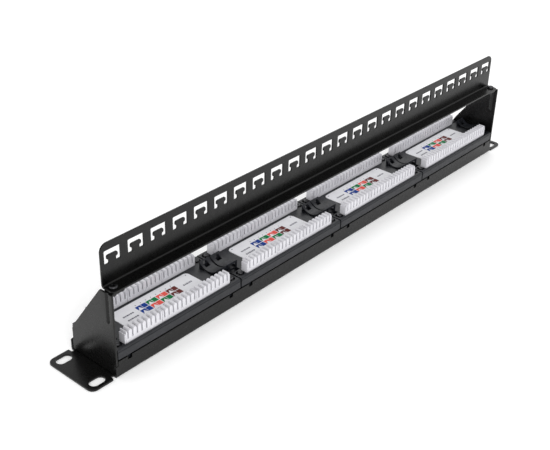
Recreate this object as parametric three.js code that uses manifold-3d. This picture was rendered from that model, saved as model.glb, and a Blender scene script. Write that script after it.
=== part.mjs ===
// A 24-port patch panel for a 19 inch rack, one rack unit high, lying on its front face.
// Millimetres. +X runs along the panel, +Z points out of its back, and the origin is on the
// front face at its centre. A steel tray carries four snapped-in modules of six sockets, two
// end brackets stand on it, and a folded bar for cable ties is screwed across the brackets.
import * as THREE from 'three';
import { mergeVertices } from 'three/addons/utils/BufferGeometryUtils.js';
import Module from 'manifold-3d';

const wasm = await Module();
wasm.setup();

// ---------- driving dimensions ----------
const GAP = 0.3;                 // clearance between pieces that touch

// rack standard
const PANEL_LENGTH = 482.6;
const PANEL_HEIGHT = 43.6;
const RACK_HOLES_X = 465.1;      // between the slot columns of the two ears
const RACK_HOLES_Y = 31.75;      // between the slots of one ear
const EAR_SLOT = { length: 11, width: 6.8 };

// steel tray
const SHEET = 1.5;
const BEND_RADIUS = 1.6;         // outside of the folded edges
const FLANGE_HEIGHT = 12.6;
const EAR_CORNER = 4.5;
const EAR_RELIEF = { width: 2.2, depth: 3.2 };
const FLANGE_STEP = 8.5;         // height where the flange ends are cut back
const FLANGE_NOTCH = { width: 3.2, depth: 2.4, inset: 9.8 };
const WINDOW_CORNER = 0.8;

// modules
const MODULES = 4;
const MODULE_PITCH = 110.1;
const PORTS = 6;
const PORT_PITCH = 15.24;
const MODULE_SEAM = 0.7;         // open line between neighbouring modules
const SHELL_TOP = 19.9;          // back face of the module's plastic shell
const SHELL_WALL = 1.8;
const RIM_CORNER = 1.2;
const END_WALL = 1.5;
const BOARD = { thickness: 1.6, top: 16.9 };

// wire terminal strips
const WIRES = 24;
const WIRE_PITCH = 3.81;
const STRIP_DEPTH = 5.6;
const STRIP_WALL = { thickness: 0.8, below: 1.8 };
const STRIP_GAP = 0.5;           // open line around a strip in the module's back face
const STRIP_OUTER = 19.4;        // outer face of a strip, from the panel's centre line
const STRIP_TOP = 28.4;
const WIRE_SLOT = { width: 1.1, depth: 6.2 };

// label plate
const LABEL = { length: 69.6, width: 21.6, thickness: 0.8, proud: 0.3, corner: 3 };

// coupling saddle at the ends of a module
const SADDLE = { reach: 9.5, width: 17.2, top: 25.2, dip: 4.2 };
const SADDLE_PORT = { width: 3, height: 2.4, inset: 5.4 };

// socket block
const SOCKET_BLOCK = { height: 17.2, back: 14.9, flush: 0.3 };
const SOCKET = { width: 11.7, height: 7.0, depth: 12.4 };
const LATCH = [{ width: 6.2, height: 1.7 }, { width: 3.4, height: 1.5 }];
const CONTACT = { pitch: 1.02, width: 0.45, thickness: 0.4, rise: 3.4, drop: 3.6, count: 8 };

// screws that hold the modules
const MODULE_SCREW = { inset: 4.7, row: 16.3, head: 1.9, headHeight: 0.6, shank: 0.9, length: 5 };

// end brackets
const BRACKET_SHEET = 1.5;
const BRACKET_TOP = 60.7;
const BRACKET_CREST = 11;        // length of the top edge
const BRACKET_KNEE = { y: 15.9, z: 24.1 };
const BRACKET_SHOULDER = { y: 19.4, z: 18.2 };
const BRACKET_CORNER = 1.2;
const BRACKET_BEAD = { width: 2.4, rib: 3.2, depth: 0.7, length: 21.5, fromEdge: 4.4 };
const BRACKET_TAB = { length: 10.5, width: 7.4 };
const BRACKET_TENON = { width: 8, centre: 11 };

// cable bar
const BAR_SHEET = 1.2;
const BAR_LENGTH = 440.2;
const BAR_TOP = 90.4;
const BAR_FACE = -12.2;          // face of the upright that looks along -Y
const BAR_CORNER = 5.5;
const FLANGE_CORNER = 3;
const TIES = 24;
const TIE_PITCH = 18.35;
const TIE = {
  width: 12.4, height: 9.2, below: 5.2, leg: 2, band: 3.5, foot: 3.4, footHeight: 2.4, rise: 0.7,
  corner: 0.8, head: 1.2,
};
const BAR_SCREW = { inset: 4.2, head: 2.7, headHeight: 1.3, shank: 1.9, hole: 2.3, length: 6 };

// ---------- worked out from them ----------
const HALF_HEIGHT = PANEL_HEIGHT / 2;
const INNER_HALF = HALF_HEIGHT - SHEET;
const MODULES_HALF = (MODULES * MODULE_PITCH) / 2;
const BRACKET_INNER = MODULES_HALF;
const BRACKET_OUTER = BRACKET_INNER + BRACKET_SHEET;
const TRAY_END = BRACKET_OUTER + GAP;
const FLOOR = SHEET + GAP;       // lowest point of what stands on the tray
const STRIP_LENGTH = WIRES * WIRE_PITCH;
const STRIP_HALF = STRIP_LENGTH / 2 + STRIP_WALL.thickness;
const STRIP_INNER = STRIP_OUTER - STRIP_DEPTH;
const STRIP_BOTTOM = BOARD.top + GAP;
const BLOCK_LENGTH = PORTS * PORT_PITCH + 1.6;
const WINDOW = { length: BLOCK_LENGTH + 2 * GAP, height: SOCKET_BLOCK.height + 2 * GAP };
const FLANGE_BOTTOM = BRACKET_TOP + GAP;
const FLANGE_TOP = FLANGE_BOTTOM + BAR_SHEET;
const BRACKET_EDGE = -HALF_HEIGHT;

// ---------- geometry helpers ----------
const AXES = {
  x: [new THREE.Vector3(0, 1, 0), new THREE.Vector3(0, 0, 1), new THREE.Vector3(1, 0, 0)],
  y: [new THREE.Vector3(1, 0, 0), new THREE.Vector3(0, 0, 1), new THREE.Vector3(0, -1, 0)],
  z: [new THREE.Vector3(1, 0, 0), new THREE.Vector3(0, 1, 0), new THREE.Vector3(0, 0, 1)],
};

function toSolid(geometry) {
  const plain = geometry.index ? geometry.toNonIndexed() : geometry.clone();
  plain.deleteAttribute('normal');
  plain.deleteAttribute('uv');
  const merged = mergeVertices(plain, 1e-4);
  return new wasm.Manifold(new wasm.Mesh({
    numProp: 3,
    vertProperties: new Float32Array(merged.attributes.position.array),
    triVerts: new Uint32Array(merged.index.array),
  }));
}

function toGeometry(solid) {
  const mesh = solid.getMesh();
  const geometry = new THREE.BufferGeometry();
  geometry.setAttribute('position', new THREE.BufferAttribute(mesh.vertProperties, 3));
  geometry.setIndex(new THREE.BufferAttribute(mesh.triVerts, 1));
  return geometry;
}

// A closed outline whose corners [x, y, radius] are rounded where a radius is given.
function outline(corners) {
  const path = new THREE.Shape();
  const count = corners.length;
  corners.forEach(([x, y, radius = 0], i) => {
    const before = corners[(i + count - 1) % count];
    const after = corners[(i + 1) % count];
    const start = new THREE.Vector2(before[0] - x, before[1] - y).setLength(radius);
    const end = new THREE.Vector2(after[0] - x, after[1] - y).setLength(radius);
    const go = i === 0 ? 'moveTo' : 'lineTo';
    path[go](x + start.x, y + start.y);
    if (radius > 0) path.quadraticCurveTo(x, y, x + end.x, y + end.y);
  });
  path.closePath();
  return path;
}

function rectangle(x0, x1, y0, y1, radius = 0) {
  return [[x0, y0, radius], [x1, y0, radius], [x1, y1, radius], [x0, y1, radius]];
}

// Extrudes an outline along an axis. Its two coordinates are (y, z), (x, z) or (x, y).
function prism(axis, corners, from, to, curveSegments = 3) {
  const geometry = new THREE.ExtrudeGeometry(outline(corners), {
    depth: to - from, bevelEnabled: false, curveSegments,
  });
  geometry.applyMatrix4(new THREE.Matrix4().makeBasis(...AXES[axis]));
  const start = axis === 'y' ? to : from;
  geometry.translate(...['x', 'y', 'z'].map((name) => (name === axis ? start : 0)));
  return toSolid(geometry);
}

function box(x0, x1, y0, y1, z0, z1) {
  const geometry = new THREE.BoxGeometry(x1 - x0, y1 - y0, z1 - z0);
  geometry.translate((x0 + x1) / 2, (y0 + y1) / 2, (z0 + z1) / 2);
  return toSolid(geometry);
}

// A round solid about a vertical line through (x, y), from its [radius, z] profile.
function turned(x, y, profile, segments = 16) {
  const points = profile.map(([radius, z]) => new THREE.Vector2(radius, z));
  const geometry = new THREE.LatheGeometry(points, segments);
  geometry.rotateX(Math.PI / 2);
  geometry.translate(x, y, 0);
  return toSolid(geometry);
}

function cylinderAlongX(radius, y, z, x0, x1, segments) {
  const geometry = new THREE.CylinderGeometry(radius, radius, x1 - x0, segments);
  geometry.rotateZ(Math.PI / 2);
  geometry.translate((x0 + x1) / 2, y, z);
  return toSolid(geometry);
}

const repeat = (count, make) => Array.from({ length: count }, (unused, i) => make(i));
const centred = (i, count, pitch) => (i - (count - 1) / 2) * pitch;
const joinAll = (solids) => solids.reduce((all, one) => all.add(one));
const cutAll = (solid, cutters) => cutters.reduce((left, one) => left.subtract(one), solid);
const mirrorX = (solid) => solid.mirror([1, 0, 0]);

// ---------- materials ----------
const material = (color, roughness, metalness) => (
  new THREE.MeshStandardMaterial({ color, roughness, metalness })
);
const powderCoat = () => material(0x26272a, 0.55, 0.3);
const blackPlastic = () => material(0x2b2d31, 0.5, 0);
const whitePlastic = () => material(0xd9d8e0, 0.55, 0);
const labelStock = () => material(0xe6e5ee, 0.6, 0);
const circuitBoard = () => material(0x1f5a38, 0.5, 0);
const contactGold = () => material(0xc9a04a, 0.3, 1);
const screwSteel = () => material(0x4a4b4e, 0.35, 1);

const panel = new THREE.Group();

function addPart(name, solid, finish) {
  const mesh = new THREE.Mesh(toGeometry(solid), finish);
  mesh.name = name;
  panel.add(mesh);
}

// ---------- steel tray with its two ears ----------
function makeTray() {
  const half = HALF_HEIGHT;
  const inner = INNER_HALF;
  const channel = prism('x', [
    [-half, 0, BEND_RADIUS], [half, 0, BEND_RADIUS], [half, FLANGE_HEIGHT], [inner, FLANGE_HEIGHT],
    [inner, SHEET], [-inner, SHEET], [-inner, FLANGE_HEIGHT], [-half, FLANGE_HEIGHT],
  ], -TRAY_END, TRAY_END);
  const ends = [-1, 1].map((side) => {
    const root = side * (TRAY_END - 2);
    const tip = side * (PANEL_LENGTH / 2);
    const ear = [
      [root, -half], [tip, -half, EAR_CORNER], [tip, half, EAR_CORNER], [root, half],
    ];
    return prism('z', side > 0 ? ear : ear.reverse(), 0, SHEET);
  });
  const cutters = [];
  [-1, 1].forEach((side) => {
    const reliefX = side * (TRAY_END + EAR_RELIEF.width / 2);
    const upperX = side * (TRAY_END + BRACKET_INNER - GAP) / 2;
    const upperHalf = (TRAY_END - BRACKET_INNER + GAP) / 2 + 0.01;
    [-1, 1].forEach((edge) => {
      const slotX = side * RACK_HOLES_X / 2;
      const slotY = edge * RACK_HOLES_Y / 2;
      const slot = rectangle(
        slotX - EAR_SLOT.length / 2, slotX + EAR_SLOT.length / 2,
        slotY - EAR_SLOT.width / 2, slotY + EAR_SLOT.width / 2, EAR_SLOT.width / 2 - 0.01,
      );
      cutters.push(prism('z', slot, -1, SHEET + 1, 5), tenonBox(side, edge, GAP, -1, SHEET + 1));
      const reliefY = edge * half;
      cutters.push(box(
        reliefX - EAR_RELIEF.width / 2, reliefX + EAR_RELIEF.width / 2,
        reliefY - EAR_RELIEF.depth, reliefY + EAR_RELIEF.depth, -1, SHEET + 1,
      ));
      cutters.push(box(
        upperX - upperHalf, upperX + upperHalf,
        edge * half - SHEET - 0.5, edge * half + SHEET + 0.5, FLANGE_STEP, FLANGE_HEIGHT + 1,
      ));
    });
  });
  repeat(MODULES, (i) => {
    const x = centred(i, MODULES, MODULE_PITCH);
    const window = rectangle(
      x - WINDOW.length / 2, x + WINDOW.length / 2, -WINDOW.height / 2, WINDOW.height / 2,
      WINDOW_CORNER,
    );
    cutters.push(prism('z', window, -1, SHEET + 1));
    [-1, 1].forEach((side) => {
      const notchX = x + side * (MODULE_PITCH / 2 - FLANGE_NOTCH.inset);
      cutters.push(box(
        notchX - FLANGE_NOTCH.width / 2, notchX + FLANGE_NOTCH.width / 2, -half - 1, half + 1,
        FLANGE_HEIGHT - FLANGE_NOTCH.depth, FLANGE_HEIGHT + 1,
      ));
    });
  });
  return cutAll(joinAll([channel, ...ends]), cutters);
}

// The tongue of a bracket that stands in a hole of the tray, or with a clearance the hole itself.
function tenonBox(side, edge, clearance, z0, z1) {
  const xs = [side * (BRACKET_INNER - clearance), side * (BRACKET_OUTER + clearance)];
  const y = edge * BRACKET_TENON.centre;
  const reach = BRACKET_TENON.width / 2 + clearance;
  return box(Math.min(...xs), Math.max(...xs), y - reach, y + reach, z0, z1);
}

// ---------- end bracket, made for the +X end ----------
// A stiffening bead is pressed into the side from its top edge down, round at its lower end.
function beadBox(width, x0, x1) {
  const y = BRACKET_EDGE + BRACKET_BEAD.fromEdge;
  const foot = BRACKET_TOP - BRACKET_BEAD.length;
  const round = width / 2 - 0.01;
  return prism('x', [
    [y - width / 2, foot, round], [y + width / 2, foot, round], [y + width / 2, BRACKET_TOP],
    [y - width / 2, BRACKET_TOP],
  ], x0, x1);
}

function makeBracket() {
  const crest = BRACKET_EDGE + BRACKET_CREST;
  const seat = FLANGE_STEP + GAP;
  const narrow = INNER_HALF - GAP;
  const side = prism('x', [
    [-narrow, FLOOR], [narrow, FLOOR], [narrow, seat], [BRACKET_SHOULDER.y, seat],
    [BRACKET_SHOULDER.y, BRACKET_SHOULDER.z], [BRACKET_KNEE.y, BRACKET_KNEE.z],
    [crest, BRACKET_TOP, BRACKET_CORNER], [BRACKET_EDGE, BRACKET_TOP],
    [BRACKET_EDGE, seat], [-narrow, seat],
  ], BRACKET_INNER, BRACKET_OUTER);
  const groove = beadBox(BRACKET_BEAD.width, BRACKET_OUTER - BRACKET_BEAD.depth, BRACKET_OUTER + 1);
  const rib = beadBox(BRACKET_BEAD.rib, BRACKET_INNER - BRACKET_BEAD.depth, BRACKET_INNER + 0.3);
  const tabEdge = BRACKET_EDGE + 1;
  const tab = box(
    BRACKET_INNER - BRACKET_TAB.length, BRACKET_INNER + 0.5,
    tabEdge, tabEdge + BRACKET_TAB.width, BRACKET_TOP - BRACKET_SHEET, BRACKET_TOP,
  );
  const screwX = BAR_LENGTH / 2 - BAR_SCREW.inset;
  const screwY = tabEdge + BRACKET_TAB.width / 2;
  const hole = turned(screwX, screwY, [
    [0, BRACKET_TOP - 4], [BAR_SCREW.hole, BRACKET_TOP - 4], [BAR_SCREW.hole, BRACKET_TOP + 1],
    [0, BRACKET_TOP + 1],
  ]);
  const tenons = [-1, 1].map((edge) => tenonBox(1, edge, 0, GAP, FLOOR + 0.5));
  return joinAll([side.subtract(groove), rib, tab, ...tenons]).subtract(hole);
}

// ---------- folded bar with its row of cable-tie anchors ----------
// One anchor is a T-shaped tongue, left standing by an upside-down U cut with widened feet.
function tieCut(x) {
  const top = BAR_TOP - TIE.below;
  const bottom = top - TIE.height;
  const outer = TIE.width / 2;
  const head = outer - TIE.leg;
  const neck = outer - TIE.foot;
  const crown = top - TIE.band;
  const shoulder = bottom + TIE.footHeight;
  const cut = [
    [x - outer, bottom], [x - neck, bottom], [x - neck, shoulder], [x - head, shoulder + TIE.rise],
    [x - head, crown, TIE.head], [x + head, crown, TIE.head], [x + head, shoulder + TIE.rise],
    [x + neck, shoulder], [x + neck, bottom], [x + outer, bottom],
    [x + outer, top, TIE.corner], [x - outer, top, TIE.corner],
  ];
  return prism('y', cut, BAR_FACE - 1, BAR_FACE + BAR_SHEET + 1, 2);
}

function makeBar() {
  const half = BAR_LENGTH / 2;
  const upright = prism('y', [
    [-half, FLANGE_BOTTOM], [half, FLANGE_BOTTOM], [half, BAR_TOP, BAR_CORNER],
    [-half, BAR_TOP, BAR_CORNER],
  ], BAR_FACE, BAR_FACE + BAR_SHEET);
  const cuts = repeat(TIES, (i) => tieCut(centred(i, TIES, TIE_PITCH)));
  const flange = prism('z', [
    [-half, BAR_FACE + 0.6], [-half, BRACKET_EDGE, FLANGE_CORNER],
    [half, BRACKET_EDGE, FLANGE_CORNER], [half, BAR_FACE + 0.6],
  ], FLANGE_BOTTOM, FLANGE_TOP);
  const holes = [-1, 1].map((side) => turned(
    side * (half - BAR_SCREW.inset), BRACKET_EDGE + 1 + BRACKET_TAB.width / 2, [
      [0, FLANGE_BOTTOM - 1], [BAR_SCREW.hole, FLANGE_BOTTOM - 1],
      [BAR_SCREW.hole, FLANGE_TOP + 1], [0, FLANGE_TOP + 1],
    ],
  ));
  return cutAll(upright.add(flange), [...cuts, ...holes]);
}

function makeBarScrew(side) {
  const seat = FLANGE_TOP + GAP;
  const crown = seat + BAR_SCREW.headHeight;
  return turned(
    side * (BAR_LENGTH / 2 - BAR_SCREW.inset), BRACKET_EDGE + 1 + BRACKET_TAB.width / 2, [
      [0, seat - BAR_SCREW.length], [BAR_SCREW.shank, seat - BAR_SCREW.length],
      [BAR_SCREW.shank, seat], [BAR_SCREW.head, seat], [BAR_SCREW.head, crown - 1],
      [BAR_SCREW.head - 1, crown], [0, crown],
    ],
  );
}

// ---------- one module, centred on x = 0 ----------
const SCREW_X = MODULE_PITCH / 2 - MODULE_SCREW.inset;

function moduleScrewHoles(radius, z0, z1) {
  return [-1, 1].flatMap((side) => [-1, 1].map((edge) => turned(
    side * SCREW_X, edge * MODULE_SCREW.row, [[0, z0], [radius, z0], [radius, z1], [0, z1]], 8,
  )));
}

function makeShell() {
  const half = (MODULE_PITCH - MODULE_SEAM) / 2;
  const skirt = INNER_HALF - GAP;
  const rim = HALF_HEIGHT - 0.1;
  const ledge = FLANGE_HEIGHT + GAP;
  const under = BOARD.top + GAP;
  const wall = skirt - SHELL_WALL;
  const section = prism('x', [
    [-skirt, FLOOR], [-wall, FLOOR], [-wall, under], [wall, under], [wall, FLOOR], [skirt, FLOOR],
    [skirt, ledge], [rim, ledge], [rim, SHELL_TOP, RIM_CORNER], [-rim, SHELL_TOP, RIM_CORNER],
    [-rim, ledge], [-skirt, ledge],
  ], -half, half);
  const ends = [-1, 1].map((side) => box(
    Math.min(side * half, side * (half - END_WALL)), Math.max(side * half, side * (half - END_WALL)),
    -wall - 0.5, wall + 0.5, FLOOR, under + 0.5,
  ));
  const dipRadius = (SADDLE.width ** 2 / 4 + SADDLE.dip ** 2) / (2 * SADDLE.dip);
  const dip = cylinderAlongX(
    dipRadius, 0, SADDLE.top + dipRadius - SADDLE.dip, -half - 1, half + 1, 36,
  );
  const saddles = [-1, 1].map((side) => box(
    Math.min(side * half, side * (half - SADDLE.reach)),
    Math.max(side * half, side * (half - SADDLE.reach)),
    -SADDLE.width / 2, SADDLE.width / 2, SHELL_TOP - 0.5, SADDLE.top,
  ).subtract(dip));
  const cutters = [];
  [-1, 1].forEach((edge) => {
    const middle = edge * (STRIP_OUTER + STRIP_INNER) / 2;
    cutters.push(box(
      -STRIP_HALF - STRIP_GAP, STRIP_HALF + STRIP_GAP, middle - STRIP_DEPTH / 2 - STRIP_GAP,
      middle + STRIP_DEPTH / 2 + STRIP_GAP, under - 1, SHELL_TOP + 1,
    ));
  });
  [-1, 1].forEach((side) => {
    const x = side * (half - SADDLE_PORT.inset);
    const low = SADDLE.top - SADDLE.dip + 0.9;
    cutters.push(box(
      x - SADDLE_PORT.width / 2, x + SADDLE_PORT.width / 2, 2.5, SADDLE.width / 2 + 1,
      low, low + SADDLE_PORT.height,
    ));
  });
  cutters.push(prism('z', rectangle(
    -LABEL.length / 2 - GAP, LABEL.length / 2 + GAP, -LABEL.width / 2 - GAP, LABEL.width / 2 + GAP,
    LABEL.corner,
  ), SHELL_TOP + LABEL.proud - LABEL.thickness - GAP, SHELL_TOP + 1));
  cutters.push(...moduleScrewHoles(MODULE_SCREW.shank + GAP, under - 1, SHELL_TOP + 1));
  return cutAll(joinAll([section, ...ends, ...saddles]), cutters);
}

function makeBoard() {
  const halfX = (MODULE_PITCH - MODULE_SEAM) / 2 - END_WALL - GAP;
  const halfY = INNER_HALF - 2 * GAP - SHELL_WALL;
  const sheet = box(-halfX, halfX, -halfY, halfY, BOARD.top - BOARD.thickness, BOARD.top);
  return cutAll(sheet, moduleScrewHoles(MODULE_SCREW.shank + GAP, 10, BOARD.top + 1));
}

// A terminal strip: a comb of teeth with one narrow slot for each wire, between low end walls.
function makeStrip(edge) {
  const half = STRIP_LENGTH / 2;
  const low = STRIP_TOP - STRIP_WALL.below;
  const floor = STRIP_TOP - WIRE_SLOT.depth;
  const comb = repeat(WIRES, (i) => {
    const left = centred(i, WIRES, WIRE_PITCH) - WIRE_SLOT.width / 2;
    const right = left + WIRE_SLOT.width;
    return [[left, STRIP_TOP], [left, floor], [right, floor], [right, STRIP_TOP]];
  }).flat();
  const profile = [
    [-STRIP_HALF, STRIP_BOTTOM], [-STRIP_HALF, low], [-half, low], [-half, STRIP_TOP], ...comb,
    [half, STRIP_TOP], [half, low], [STRIP_HALF, low], [STRIP_HALF, STRIP_BOTTOM],
  ];
  const middle = edge * (STRIP_OUTER + STRIP_INNER) / 2;
  return prism('y', profile, middle - STRIP_DEPTH / 2, middle + STRIP_DEPTH / 2);
}

function makeLabel() {
  const top = SHELL_TOP + LABEL.proud;
  return prism('z', rectangle(
    -LABEL.length / 2, LABEL.length / 2, -LABEL.width / 2, LABEL.width / 2, LABEL.corner,
  ), top - LABEL.thickness, top);
}

// The socket's outline seen from the front: a wide bay with a stepped latch channel below it.
function socketOutline(x) {
  const top = SOCKET_SIDE;
  const sill = top - SOCKET.height;
  const first = sill - LATCH[0].height;
  const second = first - LATCH[1].height;
  return [
    [x - LATCH[1].width / 2, second], [x + LATCH[1].width / 2, second],
    [x + LATCH[1].width / 2, first], [x + LATCH[0].width / 2, first],
    [x + LATCH[0].width / 2, sill], [x + SOCKET.width / 2, sill], [x + SOCKET.width / 2, top],
    [x - SOCKET.width / 2, top], [x - SOCKET.width / 2, sill], [x - LATCH[0].width / 2, sill],
    [x - LATCH[0].width / 2, first], [x - LATCH[1].width / 2, first],
  ];
}

const SOCKET_FLOOR = SOCKET_BLOCK.flush + SOCKET.depth;
const SOCKET_SIDE = SOCKET.height / 2 + 1;
const COMB_SPINE = { y0: SOCKET_SIDE + 0.5, height: 1.4 };

function makeSocketBlock() {
  const half = BLOCK_LENGTH / 2;
  const block = box(
    -half, half, -SOCKET_BLOCK.height / 2, SOCKET_BLOCK.height / 2,
    SOCKET_BLOCK.flush, SOCKET_BLOCK.back,
  );
  const cutters = repeat(PORTS, (i) => {
    const x = centred(i, PORTS, PORT_PITCH);
    return prism('z', socketOutline(x), SOCKET_BLOCK.flush - 1, SOCKET_FLOOR);
  });
  const combHalf = (PORTS - 1) * PORT_PITCH / 2 + CONTACT.pitch * CONTACT.count / 2;
  cutters.push(box(
    -combHalf - GAP, combHalf + GAP, SOCKET.height / 2, SOCKET_BLOCK.height / 2 + 1,
    SOCKET_FLOOR - COMB_SPINE.height - 6 * GAP, SOCKET_FLOOR,
  ));
  return cutAll(block, cutters);
}

// All the spring contacts of a module on one insulated carrier, which lies along the sockets.
function makeContacts() {
  const combHalf = (PORTS - 1) * PORT_PITCH / 2 + CONTACT.pitch * CONTACT.count / 2;
  const top = SOCKET_FLOOR - GAP;
  const carrier = box(
    -combHalf, combHalf, COMB_SPINE.y0, SOCKET_BLOCK.height / 2 - 0.2, top - COMB_SPINE.height, top,
  );
  const wires = repeat(PORTS * CONTACT.count, (n) => {
    const port = centred(Math.floor(n / CONTACT.count), PORTS, PORT_PITCH);
    const x = port + centred(n % CONTACT.count, CONTACT.count, CONTACT.pitch);
    const root = COMB_SPINE.y0 + 0.5;
    const tip = SOCKET_SIDE - CONTACT.rise;
    const low = top - COMB_SPINE.height + 0.3;
    return prism('x', [
      [root, low], [root, low + CONTACT.thickness], [tip, low - CONTACT.drop + CONTACT.thickness],
      [tip, low - CONTACT.drop],
    ], x - CONTACT.width / 2, x + CONTACT.width / 2);
  });
  return joinAll([carrier, ...wires]);
}

function makeModuleScrew(side, edge) {
  const seat = SHELL_TOP + GAP;
  const crown = seat + MODULE_SCREW.headHeight;
  return turned(side * SCREW_X, edge * MODULE_SCREW.row, [
    [0, seat - MODULE_SCREW.length], [MODULE_SCREW.shank, seat - MODULE_SCREW.length],
    [MODULE_SCREW.shank, seat], [MODULE_SCREW.head, seat], [MODULE_SCREW.head, crown], [0, crown],
  ], 10);
}

// ---------- assembly ----------
addPart('front_panel', makeTray(), powderCoat());
const bracket = makeBracket();
addPart('side_bracket_right', bracket, powderCoat());
addPart('side_bracket_left', mirrorX(bracket), powderCoat());
addPart('cable_bar', makeBar(), powderCoat());
addPart('bar_screw_left', makeBarScrew(-1), screwSteel());
addPart('bar_screw_right', makeBarScrew(1), screwSteel());

const pieces = [
  ['module_shell', makeShell(), blackPlastic],
  ['circuit_board', makeBoard(), circuitBoard],
  ['terminal_strip_upper', makeStrip(1), whitePlastic],
  ['terminal_strip_lower', makeStrip(-1), whitePlastic],
  ['wiring_label', makeLabel(), labelStock],
  ['socket_block', makeSocketBlock(), blackPlastic],
  ['contact_comb', makeContacts(), contactGold],
  ['screw_upper_left', makeModuleScrew(-1, 1), screwSteel],
  ['screw_upper_right', makeModuleScrew(1, 1), screwSteel],
  ['screw_lower_left', makeModuleScrew(-1, -1), screwSteel],
  ['screw_lower_right', makeModuleScrew(1, -1), screwSteel],
];
repeat(MODULES, (i) => {
  const x = centred(i, MODULES, MODULE_PITCH);
  pieces.forEach(([name, solid, finish]) => {
    addPart(`${name}_${i + 1}`, solid.translate([x, 0, 0]), finish());
  });
});

export default panel;
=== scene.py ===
"""Looks of a 24-port rack patch panel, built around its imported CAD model.

Meshes are made in millimetres, in the CAD model's frame, and turned into metres when they become
pieces. X runs along the panel, the camera stands on the -Y side, and Z points out of the back.
"""

import math

import bmesh
import bpy
from mathutils import Matrix, Quaternion, Vector


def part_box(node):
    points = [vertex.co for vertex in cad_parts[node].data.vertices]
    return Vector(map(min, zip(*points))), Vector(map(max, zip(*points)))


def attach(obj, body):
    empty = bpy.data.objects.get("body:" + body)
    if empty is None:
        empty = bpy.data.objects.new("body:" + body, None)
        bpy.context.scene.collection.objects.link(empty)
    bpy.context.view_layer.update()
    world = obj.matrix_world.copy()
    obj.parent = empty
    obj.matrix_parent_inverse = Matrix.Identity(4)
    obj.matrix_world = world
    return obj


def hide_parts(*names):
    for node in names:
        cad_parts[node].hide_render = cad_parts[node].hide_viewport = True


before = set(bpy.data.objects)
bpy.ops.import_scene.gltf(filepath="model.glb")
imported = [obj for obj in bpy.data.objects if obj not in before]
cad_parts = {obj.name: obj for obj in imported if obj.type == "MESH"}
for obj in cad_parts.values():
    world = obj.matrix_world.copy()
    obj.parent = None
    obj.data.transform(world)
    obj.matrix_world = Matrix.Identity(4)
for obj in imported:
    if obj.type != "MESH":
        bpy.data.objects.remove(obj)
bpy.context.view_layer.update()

MM = 0.001
MODULES = 4
BODY = "root"

# ---------- sizes in millimetres that a box can't tell ----------
GAP = 0.3                        # clearance between neighbours
MERGE = 0.002                    # points closer than this are one

# Steel tray and end brackets
SHEET = 1.5
SHEET_EDGE = 0.28                # rounding of the sheet's cut edges
TRAY_BEND = 1.6                  # outside of the tray's folded edges
EAR_CORNER = 4.5
EAR_SLOT = {"length": 11.0, "width": 6.8, "x": 232.55, "y": 15.875}
EAR_RELIEF = {"width": 2.2, "depth": 3.2}
FLANGE_STEP = 8.5
FLANGE_SHORT = 0.7               # wider open line between the flange and the modules
FLANGE_NOTCH = {"width": 3.2, "depth": 2.4, "inset": 9.8}
WINDOW_CORNER = 0.8
MODULE_PITCH = 110.1
BRACKET_CREST = 11.0
BRACKET_KNEE = (15.9, 24.1)
BRACKET_SHOULDER = (19.4, 18.2)
BRACKET_BEAD = {"reach": 1.7, "depth": 1.1, "length": 20.3, "from_edge": 4.4}
BRACKET_TAB = {"low": -20.8, "high": -13.4, "corner": 1.5, "overlap": 0.6}
BRACKET_TENON = {"width": 8.0, "centre": 11.0, "foot": 0.3}

# Cable bar
BAR_SHEET = 1.2
BAR_EDGE = 0.22
BAR_BEND = 2.2
BAR_BACK = -11.0                 # face of the upright that looks along +Y
BAR_CORNER = 5.5
BAR_FLANGE_CORNER = 3.0
BAR_HOLE_RADIUS = 2.3
TIES = 24
TIE_PITCH = 18.35
TIE = {
    "width": 12.4, "height": 9.2, "below": 5.2, "leg": 2.0, "band": 3.5, "foot": 3.4,
    "foot_height": 2.4, "rise": 0.7,
}

# Terminal strips
WIRES = 24
WIRE_PITCH = 3.81
WIRE_SLOT = {"width": 1.1, "depth": 6.2, "mouth": 2.0, "lead_in": 1.3}
STRIP_EDGE = 0.16
STRIP_WALL = {"thickness": 0.8, "below": 1.8, "inset": 0.1, "edge": 0.15}
BLOCKS = 3                       # a terminal strip is three blocks of eight slots
BLOCK_GAP = 0.3
BLADE = {"thickness": 0.35, "width": 2.6, "below": 1.2, "root": 1.0, "edge": 0.05, "turn": 48}

# Wiring labels
LABEL_CORNER = 3.0
LABEL_EDGE = 0.15
PRINT = {"left": -17.6, "right": 18.0, "top": 5.0, "bottom": -4.8, "gap": 0.5, "proud": 0.02}

# Screws
BAR_SCREW = {"radius": 2.7, "head": 1.3, "shank": 1.9, "dome": 0.8}
MODULE_SCREW = {"radius": 1.9, "head": 0.6, "shank": 0.9, "dome": 0.35}
SCREW_TURN = 37                  # degrees from one screw's cross recess to the next one's

# Plastic shells
PLASTIC_EDGE = 0.25
SHELL = {"deck": 19.9, "line_below": 1.5, "line_height": 0.4, "line_depth": 0.35}
POCKET = {"near": 0.9, "far": 8.4, "inner": 6.4, "outer": 12.4, "below": 2.4, "above": 3.6}
CRADLE = {
    "reach": 9.5, "half": 8.6, "top": 25.2, "dip": 4.2, "wall": 1.0, "floor": 18.3,
    "end_wall": 1.6, "past": 0.7,
}
WIRE_PORT = {
    "middle": 5.4, "reach": 2.1, "inner": 3.7, "outer": 7.5, "floor": 18.4, "lintel": 0.6,
}
SEAM_RELIEF = 0.3                # taken off each end of a module at the seam
COUNTERBORE = {"radius": 3.1, "depth": 1.6}

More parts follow.
